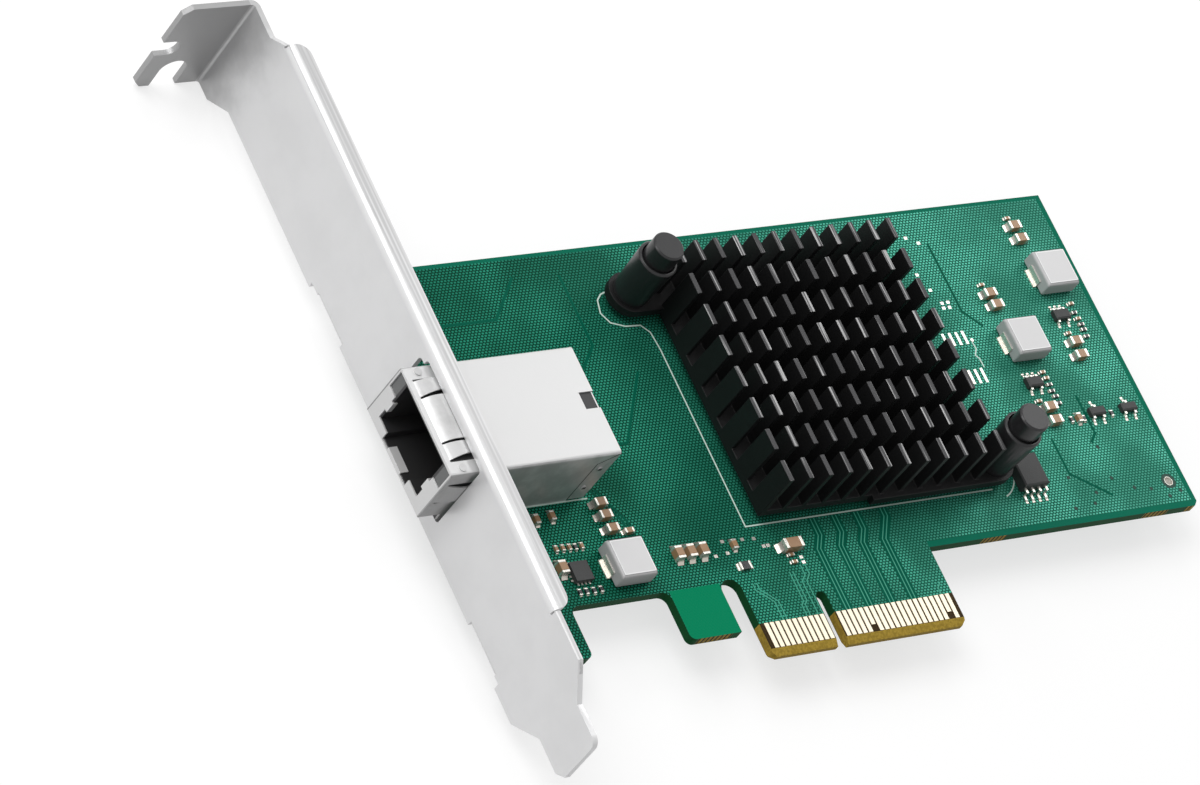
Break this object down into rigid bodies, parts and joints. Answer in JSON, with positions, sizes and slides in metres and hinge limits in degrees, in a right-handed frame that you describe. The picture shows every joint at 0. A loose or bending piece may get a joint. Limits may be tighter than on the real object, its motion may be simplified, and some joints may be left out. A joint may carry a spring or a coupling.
{
  "type": "network interface card",
  "caption": "Low-height network card with a keyed edge connector, one shielded network jack, a finned black heatsink on push pins and a full-height folded steel bracket.",
  "frame": {"origin": "middle of the edge connector's key notch, at the connector's bottom edge, half way through the board", "axes": "+X along the card from the bracket to the free end, +Y from the edge connector up to the top edge, +Z out of the component side"},
  "size_m": [0.1428, 0.12, 0.0215],
  "materials": {
    "mask_green": "satin",
    "contact_gold": "polished",
    "bracket_steel": "satin",
    "screw_steel": "polished",
    "shield_steel": "satin",
    "housing_black": "matte",
    "pipe_clear": "gloss",
    "solder_tin": "satin",
    "anodised_black": "satin",
    "pad_grey": "matte",
    "chip_black": "matte",
    "pin_black": "satin",
    "spring_steel": "satin",
    "inductor_grey": "matte",
    "capacitor_tan": "satin",
    "resistor_black": "satin",
    "lead_tin": "satin"
  },
  "bodies": {
    "root": {"circuit_board": "mask_green", "edge_contacts_front": "contact_gold", "edge_contacts_back": "contact_gold", "bracket": "bracket_steel", "bracket_screws": "screw_steel", "jack_shield": "shield_steel", "jack_rear_cover": "shield_steel", "jack_housing": "housing_black", "jack_contacts": "contact_gold", "jack_light_pipes": "pipe_clear", "jack_magnetics": "housing_black", "jack_pins": "solder_tin", "jack_solder": "solder_tin", "controller_chip": "chip_black", "thermal_pad": "pad_grey", "heatsink": "anodised_black", "push_pins": "pin_black", "push_pin_sleeves": "pin_black", "push_pin_springs": "spring_steel", "inductor_bodies": "inductor_grey", "inductor_terminals": "lead_tin", "memory_chip_bodies": "chip_black", "memory_chip_leads": "lead_tin", "regulator_bodies": "chip_black", "regulator_leads": "lead_tin", "transistor_bodies": "chip_black", "transistor_leads": "lead_tin", "switching_regulator": "chip_black", "large_capacitor_bodies": "capacitor_tan", "large_capacitor_ends": "lead_tin", "wide_capacitor_bodies": "capacitor_tan", "wide_capacitor_ends": "lead_tin", "medium_capacitor_bodies": "capacitor_tan", "medium_capacitor_ends": "lead_tin", "small_capacitor_bodies": "capacitor_tan", "small_capacitor_ends": "lead_tin", "tiny_capacitor_bodies": "capacitor_tan", "tiny_capacitor_ends": "lead_tin", "resistor_bodies": "resistor_black", "resistor_ends": "lead_tin", "small_resistor_bodies": "resistor_black", "small_resistor_ends": "lead_tin"}
  },
  "joints": []
}
